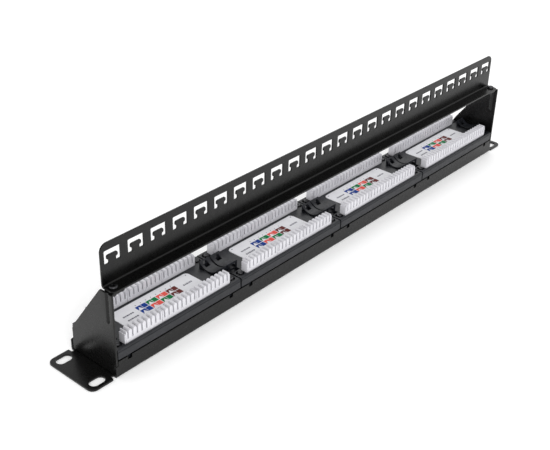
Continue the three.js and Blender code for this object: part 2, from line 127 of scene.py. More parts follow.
# ---------- camera and light ----------
CAMERA = {
    "place": (-521.0, -399.9, 384.9), "look": (0.65955, 0.56085, -0.50043), "roll": 1.54,
    "lens": 64.3, "sensor": 36, "shift_y": 0.0008,
}
KEY = {"place": (-0.9, -1.7, 1.0), "size": (1.8, 1.2), "power": 22}      # metres and watts
FILL = {"place": (1.4, 0.6, 1.6), "size": (1.5, 1.5), "power": 6}
SKY_STRENGTH = 0.86


def box_mm(node):
    """Lowest and highest corner of a CAD node in millimetres."""
    low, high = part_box(node)
    return low / MM, high / MM


def centre_mm(node):
    """Centre of a CAD node's box in X and Y, in millimetres."""
    low, high = box_mm(node)
    return (low.x + high.x) / 2, (low.y + high.y) / 2


def module_x(i):
    return (i - (MODULES - 1) / 2) * MODULE_PITCH


# ---------- materials ----------
def shader(name, colour, roughness, metallic=0.0):
    """A material with one Principled shader. Returns the material, its tree and the shader."""
    made = bpy.data.materials.new(name)
    made.use_nodes = True
    tree = made.node_tree
    principled = tree.nodes["Principled BSDF"]
    principled.inputs["Base Color"].default_value = (*colour, 1)
    principled.inputs["Roughness"].default_value = roughness
    principled.inputs["Metallic"].default_value = metallic
    return made, tree, principled


def noise(tree, scale, detail=3.0, stretch=(1, 1, 1)):
    """A noise texture in the object's own coordinates, in features per metre."""
    place = tree.nodes.new("ShaderNodeTexCoord")
    mapping = tree.nodes.new("ShaderNodeMapping")
    mapping.inputs["Scale"].default_value = stretch
    texture = tree.nodes.new("ShaderNodeTexNoise")
    texture.inputs["Scale"].default_value = scale
    texture.inputs["Detail"].default_value = detail
    tree.links.new(place.outputs["Object"], mapping.inputs["Vector"])
    tree.links.new(mapping.outputs["Vector"], texture.inputs["Vector"])
    return texture.outputs["Fac"]


def vary_roughness(tree, principled, scale, low, high):
    """Spreads the roughness between two values with a noise of that scale."""
    ramp = tree.nodes.new("ShaderNodeMapRange")
    ramp.inputs["From Min"].default_value = 0.3
    ramp.inputs["From Max"].default_value = 0.7
    ramp.inputs["To Min"].default_value = low
    ramp.inputs["To Max"].default_value = high
    tree.links.new(noise(tree, scale), ramp.inputs["Value"])
    tree.links.new(ramp.outputs["Result"], principled.inputs["Roughness"])


def vary_colour(tree, principled, factor, dark, light):
    """Spreads the base colour between two colours by a noise."""
    ramp = tree.nodes.new("ShaderNodeValToRGB")
    ramp.color_ramp.elements[0].position = 0.3
    ramp.color_ramp.elements[1].position = 0.7
    ramp.color_ramp.elements[0].color = (*dark, 1)
    ramp.color_ramp.elements[1].color = (*light, 1)
    tree.links.new(factor, ramp.inputs["Fac"])
    tree.links.new(ramp.outputs["Color"], principled.inputs["Base Color"])


def bump(tree, principled, height, distance, strength):
    node = tree.nodes.new("ShaderNodeBump")
    node.inputs["Distance"].default_value = distance
    node.inputs["Strength"].default_value = strength
    tree.links.new(height, node.inputs["Height"])
    tree.links.new(node.outputs["Normal"], principled.inputs["Normal"])


def make_powder_coat():
    """Glossy black powder coat: a fine orange peel over a deep, slightly uneven black."""
    made, tree, principled = shader("powder_coat", (0.002, 0.002, 0.002), 0.28)
    principled.inputs["Specular IOR Level"].default_value = 0.3
    vary_colour(
        tree, principled, noise(tree, 60), (0.0008, 0.0008, 0.0008), (0.0022, 0.0022, 0.0020),
    )
    vary_roughness(tree, principled, 240, 0.25, 0.31)
    bump(tree, principled, noise(tree, 1500, 2), 0.00002, 0.1)
    return made


def make_black_plastic():
    """Satin moulded plastic with a faint bluish cast and a fine spark-eroded grain."""
    made, tree, principled = shader("black_plastic", (0.010, 0.011, 0.014), 0.42)
    principled.inputs["Specular IOR Level"].default_value = 0.4
    vary_colour(
        tree, principled, noise(tree, 90), (0.006, 0.007, 0.0095), (0.012, 0.013, 0.017),
    )
    vary_roughness(tree, principled, 400, 0.36, 0.48)
    bump(tree, principled, noise(tree, 2600, 3), 0.00004, 0.4)
    return made


def make_socket_plastic():
    """Black plastic of the sockets, a little smoother than the shells'."""
    made, tree, principled = shader("socket_plastic", (0.014, 0.014, 0.015), 0.36)
    vary_colour(
        tree, principled, noise(tree, 120), (0.011, 0.011, 0.012), (0.018, 0.018, 0.020),
    )
    vary_roughness(tree, principled, 500, 0.32, 0.44)
    bump(tree, principled, noise(tree, 3000, 2), 0.00002, 0.3)
    return made


def make_white_plastic():
    """Flame-retardant white nylon, cool in tone, with faint flow marks."""
    made, tree, principled = shader("white_plastic", (0.62, 0.61, 0.65), 0.42)
    vary_colour(
        tree, principled, noise(tree, 130, 4, (0.3, 1, 1)),
        (0.58, 0.575, 0.61), (0.66, 0.655, 0.69),
    )
    vary_roughness(tree, principled, 600, 0.38, 0.5)
    bump(tree, principled, noise(tree, 2200, 2), 0.00003, 0.25)
    return made


def make_label_stock():
    """Printed plastic sheet, a shade whiter than the strips."""
    made, tree, principled = shader("label_stock", (0.80, 0.80, 0.84), 0.5)
    vary_colour(tree, principled, noise(tree, 160), (0.69, 0.69, 0.72), (0.75, 0.75, 0.78))
    bump(tree, principled, noise(tree, 2500, 2), 0.00002, 0.3)
    return made


def make_ink(name, colour):
    """Pad-printed ink: a slightly mottled solid colour."""
    made, tree, principled = shader(name, colour, 0.6)
    principled.inputs["Specular IOR Level"].default_value = 0.12
    dark = tuple(0.88 * c for c in colour)
    light = tuple(min(1.0, 1.1 * c) for c in colour)
    vary_colour(tree, principled, noise(tree, 900, 4), dark, light)
    return made


def make_circuit_board():
    """Green solder mask with the faint relief of the tracks under it."""
    made, tree, principled = shader("circuit_board", (0.012, 0.10, 0.045), 0.35)
    tracks = (1, 0.25, 1)
    vary_colour(
        tree, principled, noise(tree, 260, 1, tracks), (0.010, 0.085, 0.038), (0.022, 0.14, 0.06),
    )
    bump(tree, principled, noise(tree, 260, 1, tracks), 0.00005, 0.4)
    return made


def make_contact_gold():
    made, tree, principled = shader("contact_gold", (0.83, 0.58, 0.22), 0.24, 1.0)
    vary_colour(tree, principled, noise(tree, 500), (0.78, 0.53, 0.19), (0.88, 0.64, 0.27))
    vary_roughness(tree, principled, 900, 0.2, 0.34)
    return made


def make_shaded_blades():
    """Tinned blades in a dull dark colour that is painted shade, standing in for how dark they
    look deep in their slots.
    """
    made, tree, principled = shader("blade_metal_painted_shade", (0.22, 0.20, 0.18), 0.34, 1.0)
    vary_colour(tree, principled, noise(tree, 700), (0.16, 0.15, 0.13), (0.28, 0.26, 0.23))
    vary_roughness(tree, principled, 900, 0.3, 0.45)
    return made


def make_screw_steel():
    """Black zinc on steel."""
    made, tree, principled = shader("screw_steel", (0.05, 0.05, 0.052), 0.32, 1.0)
    vary_colour(tree, principled, noise(tree, 700), (0.035, 0.035, 0.037), (0.075, 0.075, 0.08))
    vary_roughness(tree, principled, 1200, 0.26, 0.42)
    return made


MATERIALS = {
    "powder_coat": make_powder_coat(),
    "black_plastic": make_black_plastic(),
    "socket_plastic": make_socket_plastic(),
    "white_plastic": make_white_plastic(),
    "label_stock": make_label_stock(),
    "circuit_board": make_circuit_board(),
    "contact_gold": make_contact_gold(),
    "screw_steel": make_screw_steel(),
    "blade_metal_painted_shade": make_shaded_blades(),
    "ink_blue": make_ink("ink_blue", (0.004, 0.040, 0.24)),
    "ink_green": make_ink("ink_green", (0.002, 0.17, 0.05)),
    "ink_coral": make_ink("ink_coral", (0.75, 0.095, 0.075)),
    "ink_brown": make_ink("ink_brown", (0.12, 0.022, 0.02)),
    "ink_grey": make_ink("ink_grey", (0.13, 0.13, 0.16)),
}

# Materials of a label's mesh, and the places of its inks among them
LABEL_FINISHES = ["label_stock", "ink_blue", "ink_green", "ink_coral", "ink_brown", "ink_grey"]
BLUE, GREEN, CORAL, BROWN, GREY = range(1, 6)


# ---------- outlines ----------
def rounded(corners, steps=5):
    """Points of a closed outline whose corners (x, y, radius) are rounded by arcs."""
    points = []
    for i, corner in enumerate(corners):
        here = Vector(corner[:2])
        radius = corner[2] if len(corner) > 2 else 0
        if radius == 0:
            points.append(here)
            continue
        back = (Vector(corners[i - 1][:2]) - here).normalized()
        ahead = (Vector(corners[(i + 1) % len(corners)][:2]) - here).normalized()
        half = back.angle(ahead) / 2
        centre = here + (back + ahead).normalized() * radius / math.sin(half)
        start = here + back * radius / math.tan(half) - centre
        stop = here + ahead * radius / math.tan(half) - centre
        arms = (start.slerp(stop, k / steps) for k in range(steps + 1))
        points.extend(centre + radius * arm for arm in arms)
    return points


def rectangle(x0, x1, y0, y1, radius=0.0):
    return [(x0, y0, radius), (x1, y0, radius), (x1, y1, radius), (x0, y1, radius)]


def circle(x, y, radius, steps=24):
    turns = [2 * math.pi * k / steps for k in range(steps)]
    return [Vector((x + radius * math.cos(a), y + radius * math.sin(a))) for a in turns]


def flipped(corners, sx, sy):
    """An outline's corners with x and y multiplied by the signs sx and sy."""
    return [(sx * corner[0], sy * corner[1], *corner[2:]) for corner in corners]


# ---------- meshes ----------
def plate(outlines, thickness, edge):
    """A plate with rounded edges in the XY plane, from z = 0 up to its thickness.

    The first outline is its rim and the others are holes.
    """
    curve = bpy.data.curves.new("plate", "CURVE")
    curve.dimensions = "2D"
    curve.fill_mode = "BOTH"
    curve.extrude = thickness / 2 - edge
    curve.bevel_depth = edge
    curve.bevel_resolution = 1
    curve.offset = -edge
    for points in outlines:
        spline = curve.splines.new("POLY")
        spline.points.add(len(points) - 1)
        for point, place in zip(spline.points, points):
            point.co = (place[0], place[1], 0, 1)
        spline.use_cyclic_u = True
    holder = bpy.data.objects.new("plate", curve)
    bpy.context.scene.collection.objects.link(holder)
    bm = evaluated_mesh(holder)
    bmesh.ops.remove_doubles(bm, verts=bm.verts, dist=MERGE)
    bpy.data.objects.remove(holder)
    bpy.data.curves.remove(curve)
    return moved(bm, (0, 0, thickness / 2))


def evaluated_mesh(holder):
    """The mesh that an object's curve or modifiers make."""
    evaluated = holder.evaluated_get(bpy.context.evaluated_depsgraph_get())
    mesh = bpy.data.meshes.new_from_object(evaluated)
    bm = bmesh.new()
    bm.from_mesh(mesh)
    bpy.data.meshes.remove(mesh)
    return bm


def slice_across(bm, axis, places):
    """Cuts the mesh's faces along planes across an axis, so that they can bend there."""
    for place in places:
        point = Vector((0, 0, 0))
        normal = Vector((0, 0, 0))
        point[axis] = place
        normal[axis] = 1
        bmesh.ops.bisect_plane(
            bm, geom=[*bm.verts, *bm.edges, *bm.faces], plane_co=point, plane_no=normal,
        )


def bent(s, t, start, radius):
    """Where a point of a flat sheet goes when the sheet turns a quarter towards +t past start.

    s runs along the sheet, t is measured from its middle surface, and radius is that surface's.
    """
    if s <= start:
        return s, t
    turn = min((s - start) / radius, math.pi / 2)
    rest = s - start - radius * turn
    arm = radius - t
    along = start + arm * math.sin(turn) + rest * math.cos(turn)
    up = radius - arm * math.cos(turn) + rest * math.sin(turn)
    return along, up


def bend_steps(start, radius, steps=6):
    """Where a flat sheet is sliced so that its bend comes out round."""
    return [start + radius * math.pi / 2 * k / steps for k in range(steps + 1)]


def joined(*parts):
    """One mesh from several."""
    whole = bmesh.new()
    for part in parts:
        mesh = bpy.data.meshes.new("part")
        part.to_mesh(mesh)
        whole.from_mesh(mesh)
        bpy.data.meshes.remove(mesh)
        part.free()
    return whole


def moved(bm, offset):
    bmesh.ops.translate(bm, verts=bm.verts, vec=offset)
    return bm


def turned(bm, angle, axis):
    bmesh.ops.rotate(bm, verts=bm.verts, cent=(0, 0, 0), matrix=Matrix.Rotation(angle, 3, axis))
    return bm


def outward(bm):
    """Turns the faces of a closed mesh outwards."""
    bmesh.ops.recalc_face_normals(bm, faces=bm.faces)
    return bm


def block(low, high, edge=0.0, steps=2):
    """A box between two corners with bevelled edges."""
    bm = bmesh.new()
    bmesh.ops.create_cube(bm, size=1)
    size = [b - a for a, b in zip(low, high)]
    bmesh.ops.scale(bm, verts=bm.verts, vec=size)
    moved(bm, [(a + b) / 2 for a, b in zip(low, high)])
    if edge:
        bmesh.ops.bevel(
            bm, geom=bm.edges[:], offset=edge, segments=steps, affect="EDGES", profile=0.5,
        )
    return bm


def prism(outline, x0, x1):
    """A solid along X whose section is an outline of (y, z) points."""
    bm = bmesh.new()
    rings = [[bm.verts.new((x, y, z)) for y, z in outline] for x in (x0, x1)]
    bm.faces.new(rings[0][::-1])
    bm.faces.new(rings[1])
    for k in range(len(outline)):
        after = (k + 1) % len(outline)
        bm.faces.new((rings[0][k], rings[0][after], rings[1][after], rings[1][k]))
    return outward(bm)


def lathe(profile, steps=32):
    """A closed solid turned about Z from (radius, z) points that start and end on the axis."""
    bm = bmesh.new()
    turns = [2 * math.pi * k / steps for k in range(steps)]
    rings = []
    for radius, z in profile:
        ring = turns if radius else turns[:1]
        rings.append([
            bm.verts.new((radius * math.cos(a), radius * math.sin(a), z)) for a in ring
        ])
    for lower, upper in zip(rings, rings[1:]):
        for k in range(steps):
            after = (k + 1) % steps
            if len(lower) == 1:
                bm.faces.new((lower[0], upper[after], upper[k]))
            elif len(upper) == 1:
                bm.faces.new((lower[k], lower[after], upper[0]))
            else:
                bm.faces.new((lower[k], lower[after], upper[after], upper[k]))
    return bm


def scratch_object(bm, name="scratch"):
    mesh = bpy.data.meshes.new(name)
    bm.to_mesh(mesh)
    bm.free()
    made = bpy.data.objects.new(name, mesh)
    bpy.context.scene.collection.objects.link(made)
    return made


def boolean(bm, other, operation):
    """One solid joined to or cut by another."""
    base = scratch_object(bm)
    tool = scratch_object(other)
    modifier = base.modifiers.new("boolean", "BOOLEAN")
    modifier.operation = operation
    modifier.solver = "EXACT"
    modifier.object = tool
    result = evaluated_mesh(base)
    for made in (base, tool):
        mesh = made.data
        bpy.data.objects.remove(made)
        bpy.data.meshes.remove(mesh)
    return result


def cad_copy(node):
    """A CAD node's shape in millimetres."""
    bm = bmesh.new()
    bm.from_mesh(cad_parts[node].data)
    bmesh.ops.scale(bm, verts=bm.verts, vec=(1 / MM,) * 3)
    bmesh.ops.remove_doubles(bm, verts=bm.verts, dist=MERGE)
    return bm


def flattened(bm):
    """Makes flat faces whole again, so that only real edges are left to bevel."""
    bmesh.ops.dissolve_limit(
        bm, angle_limit=math.radians(1), verts=bm.verts, edges=bm.edges, delimit={"NORMAL"},
    )
    return bm


# ---------- pieces ----------
def in_metres(name, bm):
    """A Blender mesh in metres from one that was made in millimetres."""
    bmesh.ops.scale(bm, verts=bm.verts, vec=(MM,) * 3)
    mesh = bpy.data.meshes.new(name)
    bm.to_mesh(mesh)
    bm.free()
    return mesh


def add_piece(name, mesh, slot, nodes, finishes=None, bevel=0.0, place=(0, 0, 0), turn=0.0):
    """Puts a mesh in the scene as the piece that stands for CAD nodes.

    place and bevel are in millimetres, and turn is an angle about Z. Pieces may share a mesh.
    """
    piece = bpy.data.objects.new(name, mesh)
    piece.location = [c * MM for c in place]
    piece.rotation_euler.z = turn
    bpy.context.scene.collection.objects.link(piece)
    if not mesh.materials:
        for finish in finishes or [slot]:
            mesh.materials.append(MATERIALS[finish])
        mesh.shade_smooth()
        mesh.set_sharp_from_angle(angle=math.radians(35))
    if bevel:
        modifier = piece.modifiers.new("edges", "BEVEL")
        modifier.width = bevel * MM
        modifier.segments = 2
        modifier.limit_method = "ANGLE"
        modifier.angle_limit = math.radians(40)
        modifier.miter_outer = "MITER_ARC"
    weighted = piece.modifiers.new("shading", "WEIGHTED_NORMAL")
    weighted.keep_sharp = not bevel
    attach(piece, BODY)
    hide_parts(*nodes)


# ---------- steel tray ----------
def flange_notches(flat_top, flat_floor):
    """Notches in the rear flange's edge on the flat sheet, from left to right."""
    reach = FLANGE_NOTCH["width"] / 2
    notches = []
    for i in range(MODULES):
        for side in (-1, 1):
            x = module_x(i) + side * (MODULE_PITCH / 2 - FLANGE_NOTCH["inset"])
            notches.append([
                (x - reach, flat_top), (x - reach, flat_floor, 0.4),
                (x + reach, flat_floor, 0.4), (x + reach, flat_top),
            ])
    return notches


def tray_rim(corner, notches):
    """The flat tray's rim, from one corner of it and the notches of one flange."""
    rim = flipped(corner, -1, -1)[::-1]
    for notch in notches:
        rim += flipped(notch, 1, -1)
    rim += flipped(corner, 1, -1)
    rim += corner[::-1]
    for notch in notches[::-1]:
        rim += notch[::-1]
    rim += flipped(corner, -1, 1)
    return rim


def tray_openings(step_end, tray_end):
    """The ear slots, the slots for the brackets' tenons and the modules' windows."""
    half_length = EAR_SLOT["length"] / 2
    half_width = EAR_SLOT["width"] / 2
    tenon_reach = BRACKET_TENON["width"] / 2 + GAP
    outlines = []
    for sx in (-1, 1):
        for sy in (-1, 1):
            x = sx * EAR_SLOT["x"]
            y = sy * EAR_SLOT["y"]
            outlines.append(rounded(rectangle(
                x - half_length, x + half_length, y - half_width, y + half_width,
                half_width - 0.01,
            ), 8))
            x0, x1 = sorted((sx * step_end, sx * tray_end))
            y = sy * BRACKET_TENON["centre"]
            outlines.append(rounded(rectangle(x0, x1, y - tenon_reach, y + tenon_reach, 0.3), 2))
    for i in range(MODULES):
        low, high = box_mm(f"socket_block_{i + 1}")
        outlines.append(rounded(rectangle(
            low.x - GAP, high.x + GAP, low.y - GAP, high.y + GAP, WINDOW_CORNER,
        )))
    return outlines


def build_tray():
    """The tray is cut flat and then folded along both long sides, between its ears."""
    high = box_mm("front_panel")[1]
    half = high.y
    tray_end = box_mm("side_bracket_right")[1].x + GAP
    step_end = tray_end - SHEET - 2 * GAP
    middle = TRAY_BEND - SHEET / 2
    start = half - TRAY_BEND
    rise = start + middle * math.pi / 2 - (SHEET / 2 + middle)

    def flat(z):
        """Where a height on the folded flange lies on the flat sheet."""
        return z + rise

    top = high.z - FLANGE_SHORT
    relief = half - EAR_RELIEF["depth"]
    corner = [
        (step_end, flat(top)), (step_end, flat(FLANGE_STEP), 0.6),
        (tray_end, flat(FLANGE_STEP), 0.8), (tray_end, relief, 0.5),
        (tray_end + EAR_RELIEF["width"], relief, 0.5),
        (tray_end + EAR_RELIEF["width"], half, 0.8), (high.x, half, EAR_CORNER),
    ]
    notches = flange_notches(flat(top), flat(top - FLANGE_NOTCH["depth"]))
    rim = rounded(tray_rim(corner, notches))
    bm = plate([rim, *tray_openings(step_end, tray_end)], SHEET, SHEET_EDGE)
    places = bend_steps(start, middle)
    slice_across(bm, 1, [*places, *(-p for p in places)])
    for v in bm.verts:
        if abs(v.co.x) > tray_end + 0.01:
            continue
        along, up = bent(abs(v.co.y), v.co.z - SHEET / 2, start, middle)
        v.co.y = math.copysign(along, v.co.y)
        v.co.z = up + SHEET / 2
    add_piece("tray", in_metres("tray", outward(bm)), "powder_coat", ["front_panel"])


# ---------- end brackets ----------
def emboss_bead(bm, y, foot):
    """Presses a bead with a round foot into the flat side plate, from its top edge down."""
    reach = BRACKET_BEAD["reach"]
    slice_across(bm, 0, [y + reach * k / 4 for k in range(-4, 5)])
    slice_across(bm, 1, [foot + reach * k / 4 for k in range(-4, 4)])
    for v in bm.verts:
        away = math.hypot(v.co.x - y, min(v.co.y - foot, 0))
        if away < reach:
            v.co.z += BRACKET_BEAD["depth"] * (0.5 + 0.5 * math.cos(math.pi * away / reach))


def side_plate(low, high):
    """The right-hand bracket's upright plate, seen from the side while it lies flat."""
    edge = low.y
    tray_floor = SHEET + GAP
    seat = FLANGE_STEP + GAP
    narrow = box_mm("front_panel")[1].y - SHEET - GAP
    tenons = []
    for side in (-1, 1):
        left = side * BRACKET_TENON["centre"] - BRACKET_TENON["width"] / 2
        right = left + BRACKET_TENON["width"]
        tenons += [
            (left, tray_floor, 0.2), (left, BRACKET_TENON["foot"], 0.4),
            (right, BRACKET_TENON["foot"], 0.4), (right, tray_floor, 0.2),
        ]
    bm = plate([rounded([
        (-narrow, tray_floor, 0.4), *tenons, (narrow, tray_floor, 0.4), (narrow, seat, 0.4),
        (BRACKET_SHOULDER[0], seat, 0.5), (*BRACKET_SHOULDER, 1.0), (*BRACKET_KNEE, 1.0),
        (edge + BRACKET_CREST, high.z, 1.0), (edge, high.z, 0.4), (edge, seat, 0.4),
        (-narrow, seat, 0.4),
    ])], SHEET, SHEET_EDGE)
    emboss_bead(bm, edge + BRACKET_BEAD["from_edge"], high.z - BRACKET_BEAD["length"])
    for v in bm.verts:
        v.co = Vector((high.x - v.co.z, v.co.x, v.co.y))
    return outward(bm)


def bracket_tab(low, high):
    """The tab at the right-hand bracket's top that the bar is screwed to."""
    tab = BRACKET_TAB
    root = high.x - SHEET + tab["overlap"]
    hole_x, hole_y = centre_mm("bar_screw_right")
    bm = plate([
        rounded([
            (low.x, tab["low"], tab["corner"]), (root, tab["low"]), (root, tab["high"]),
            (low.x, tab["high"], tab["corner"]),
        ]),
        circle(hole_x, hole_y, BAR_HOLE_RADIUS),
    ], SHEET, SHEET_EDGE)
    return outward(moved(bm, (0, 0, high.z - SHEET)))


def build_brackets():
    low, high = box_mm("side_bracket_right")
    right = boolean(side_plate(low, high), bracket_tab(low, high), "UNION")
    left = right.copy()
    bmesh.ops.scale(left, verts=left.verts, vec=(-1, 1, 1))
    for side, bm in (("right", right), ("left", left)):
        name = f"bracket_{side}"
        add_piece(name, in_metres(name, outward(bm)), "powder_coat", [f"side_bracket_{side}"])


# ---------- cable bar ----------
def tie_outline(x, top):
    """One upside-down U with widened feet, cut round the T-shaped tongue that a tie grips."""
    bottom = top - TIE["height"]
    outer = TIE["width"] / 2
    head = outer - TIE["leg"]
    neck = outer - TIE["foot"]
    crown = top - TIE["band"]
    shoulder = bottom + TIE["foot_height"]
    low = shoulder + TIE["rise"]
    return rounded([
        (x - outer, bottom, 0.4), (x - neck, bottom, 0.6), (x - neck, shoulder, 0.5),
        (x - head, low, 0.6), (x - head, crown, 1.2), (x + head, crown, 1.2),
        (x + head, low, 0.6), (x + neck, shoulder, 0.5), (x + neck, bottom, 0.6),
        (x + outer, bottom, 0.4), (x + outer, top, 0.6), (x - outer, top, 0.6),
    ], 3)


def build_bar():
    """The bar is cut flat and then folded once, into a flange and an upright."""
    low, high = box_mm("cable_bar")
    middle = BAR_BEND - BAR_SHEET / 2
    start = BAR_BACK - BAR_BEND - low.y
    bottom = low.z + BAR_SHEET / 2
    rise = start + middle * math.pi / 2 - middle - bottom
    flat_top = high.z + rise
    outlines = [rounded([
        (low.x, 0, BAR_FLANGE_CORNER), (high.x, 0, BAR_FLANGE_CORNER),
        (high.x, flat_top, BAR_CORNER), (low.x, flat_top, BAR_CORNER),
    ], 8)]
    for i in range(TIES):
        x = (i - (TIES - 1) / 2) * TIE_PITCH
        outlines.append(tie_outline(x, flat_top - TIE["below"]))
    hole_x, hole_y = centre_mm("bar_screw_right")
    for side in (-1, 1):
        outlines.append(circle(side * hole_x, hole_y - low.y, BAR_HOLE_RADIUS))
    bm = plate(outlines, BAR_SHEET, BAR_EDGE)
    slice_across(bm, 1, bend_steps(start, middle, 8))
    for v in bm.verts:
        along, up = bent(v.co.y, v.co.z - BAR_SHEET / 2, start, middle)
        v.co.y = along + low.y
        v.co.z = up + bottom
    add_piece("tie_bar", in_metres("tie_bar", outward(bm)), "powder_coat", ["cable_bar"])


# ---------- terminal strips ----------
def comb_outline(slots, top, bottom):
    """Outline of one block: slots with a flared mouth between slim teeth."""
    width = slots * WIRE_PITCH - BLOCK_GAP
    floor = top - WIRE_SLOT["depth"]
    narrow = WIRE_SLOT["width"] / 2
    wide = WIRE_SLOT["mouth"] / 2
    throat = top - WIRE_SLOT["lead_in"]
    rim = [(width / 2, bottom, 0.3), (width / 2, top, 0.25)]
    for i in reversed(range(slots)):
        x = (i - (slots - 1) / 2) * WIRE_PITCH
        rim += [
            (x + wide, top, 0.3), (x + narrow, throat, 0.4), (x + narrow, floor, 0.2),
            (x - narrow, floor, 0.2), (x - narrow, throat, 0.4), (x - wide, top, 0.3),
        ]
    rim += [(-width / 2, top, 0.25), (-width / 2, bottom, 0.3)]
    return rounded(rim, 2)


def strip_plastic(low, high):
    """The three blocks of a strip and its low end walls, about the strip's middle."""
    depth = high.y - low.y
    half = (high.x - low.x) / 2
    slots = WIRES // BLOCKS
    parts = []
    for b in range(BLOCKS):
        comb = turned(
            plate([comb_outline(slots, high.z, low.z)], depth, STRIP_EDGE), math.pi / 2, "X",
        )
        x = (b - (BLOCKS - 1) / 2) * slots * WIRE_PITCH
        parts.append(moved(comb, (x, depth / 2, 0)))
    wall = STRIP_WALL
    reach = depth / 2 - wall["inset"]
    for x0, x1 in ((-half, wall["thickness"] - half), (half - wall["thickness"], half)):
        parts.append(block(
            (x0, -reach, low.z), (x1, reach, high.z - wall["below"]), wall["edge"],
        ))
    return joined(*parts)


def strip_blades(high):
    """The metal blade that stands askew in each slot."""
    reach = BLADE["width"] / 2
    half = BLADE["thickness"] / 2
    root = high.z - WIRE_SLOT["depth"] - BLADE["root"]
    parts = []
    for i in range(WIRES):
        x = (i - (WIRES - 1) / 2) * WIRE_PITCH
        blade = block(
            (-reach, -half, root), (reach, half, high.z - BLADE["below"]), BLADE["edge"], 1,
        )
        parts.append(moved(turned(blade, math.radians(BLADE["turn"]), "Z"), (x, 0, 0)))
    return joined(*parts)


def build_strips():
    """All eight strips share one mesh."""
    low, high = box_mm("terminal_strip_lower_1")
    plastic = strip_plastic(low, high)
    metal = strip_blades(high)
    for face in metal.faces:
        face.material_index = 1
    mesh = in_metres("terminal_strip", outward(joined(plastic, metal)))
    for i in range(MODULES):
        for row in ("lower", "upper"):
            node = f"terminal_strip_{row}_{i + 1}"
            add_piece(
                f"strip_{row}_{i + 1}", mesh, "white_plastic", [node],
                ["white_plastic", "blade_metal_painted_shade"], place=(*centre_mm(node), 0),
            )


# ---------- wiring labels ----------
def ink_shape(points, z, finish):
    """A thin slab of ink on an outline, with its underside at z."""
    bm = bmesh.new()
    lower = [bm.verts.new((x, y, z)) for x, y in points]
    upper = [bm.verts.new((x, y, z + PRINT["proud"])) for x, y in points]
    bm.faces.new(upper)
    bm.faces.new(lower[::-1])
    count = len(points)
    for k in range(count):
        after = (k + 1) % count
        bm.faces.new((lower[k], lower[after], upper[after], upper[k]))
    for face in bm.faces:
        face.material_index = finish
    return bm


def ink_bar(x, y, length, height, z, finish):
    return ink_shape(
        [(x, y), (x + length, y), (x + length, y + height), (x, y + height)], z, finish,
    )


def wire_code(z):
    """Two rows of four pair colours. A pair is a notched cell and then a solid one."""
    orders = [(BLUE, GREEN, CORAL, BROWN), (BLUE, CORAL, GREEN, BROWN)]
    gap = PRINT["gap"]
    pair = (PRINT["right"] - PRINT["left"]) / 4
    height = (PRINT["top"] - PRINT["bottom"]) / 2
    shapes = []
    for row, order in enumerate(orders):
        top = PRINT["top"] - row * height - gap / 2
        bottom = top - height + gap
        for column, colour in enumerate(order):
            left = PRINT["left"] + column * pair + gap / 2
            half = left + pair / 2 - gap / 2
            right = left + pair - gap
            apex = (left + 0.55 * (half - left), bottom + 0.72 * (top - bottom))
            shapes.append(ink_shape([
                (left, bottom), (left + 0.3, bottom), apex, (half - 0.3, bottom), (half, bottom),
                (half, top), (left, top),
            ], z, colour))
            solid = half + gap * 0.6
            shapes.append(ink_bar(solid, bottom, right - solid, top - bottom, z, colour))
    return shapes


def line_marks(x, y, lengths, z, height):
    """A run of short bars where the real label has a line of small print."""
    shapes = []
    for length in lengths:
        shapes.append(ink_bar(x, y, length, height, z, GREY))
        x += length + 0.35
    return shapes


def label_marks(half, top, z):
    """Every grey mark of a label: runs of bars, two corner ticks and a tick for each wire."""
    long_run = (1.3, 1.0, 1.4, 0.9, 1.2, 1.3)
    short_run = (1.2, 0.9, 1.3, 0.5, 1.1, 0.9)
    shapes = line_marks(-half + 5.0, 0.9, long_run, z, 1.4)
    shapes += line_marks(-half + 5.0, -3.9, long_run, z, 1.4)
    shapes += line_marks(half - 12.5, -0.2, short_run, z, 1.5)
    for x in (-half + 2.2, half - 3.2):
        shapes += line_marks(x, top - 2.6, (1.0,), z, 0.8)
    for column in range(8):
        x = PRINT["left"] + (column + 0.5) * (PRINT["right"] - PRINT["left"]) / 8
        shapes += line_marks(x - 0.3, PRINT["top"] + 0.9, (0.6,), z, 0.9)
        shapes += line_marks(x - 0.3, PRINT["bottom"] - 1.8, (0.6,), z, 0.9)
    return shapes


def build_labels():
    """All four labels share one mesh."""
    low, high = box_mm("wiring_label_1")
    half = (high.x - low.x) / 2
    rim = rounded(rectangle(-half, half, low.y, high.y, LABEL_CORNER), 8)
    stock = moved(plate([rim], high.z - low.z, LABEL_EDGE), (0, 0, low.z))
    ink = high.z - PRINT["proud"] / 2
    label = joined(stock, *wire_code(ink), *label_marks(half, high.y, ink))
    mesh = in_metres("label", outward(label))
    for i in range(MODULES):
        node = f"wiring_label_{i + 1}"
        add_piece(
            f"label_{i + 1}", mesh, "label_stock", [node], LABEL_FINISHES,
            place=(centre_mm(node)[0], 0, 0),
        )


# ---------- screws ----------
def cross_recess(radius, top, depth):
    """Cutter for a cross recess whose arms taper towards the bottom."""
    arms = []
    for angle in (0, math.pi / 2):
        bm = block((-radius, -radius * 0.24, top - depth), (radius, radius * 0.24, top + 1))
        for v in bm.verts:
            if v.co.z < top:
                v.co.x *= 0.4
                v.co.y *= 0.75
        arms.append(turned(bm, angle, "Z"))
    return boolean(arms[0], arms[1], "UNION")


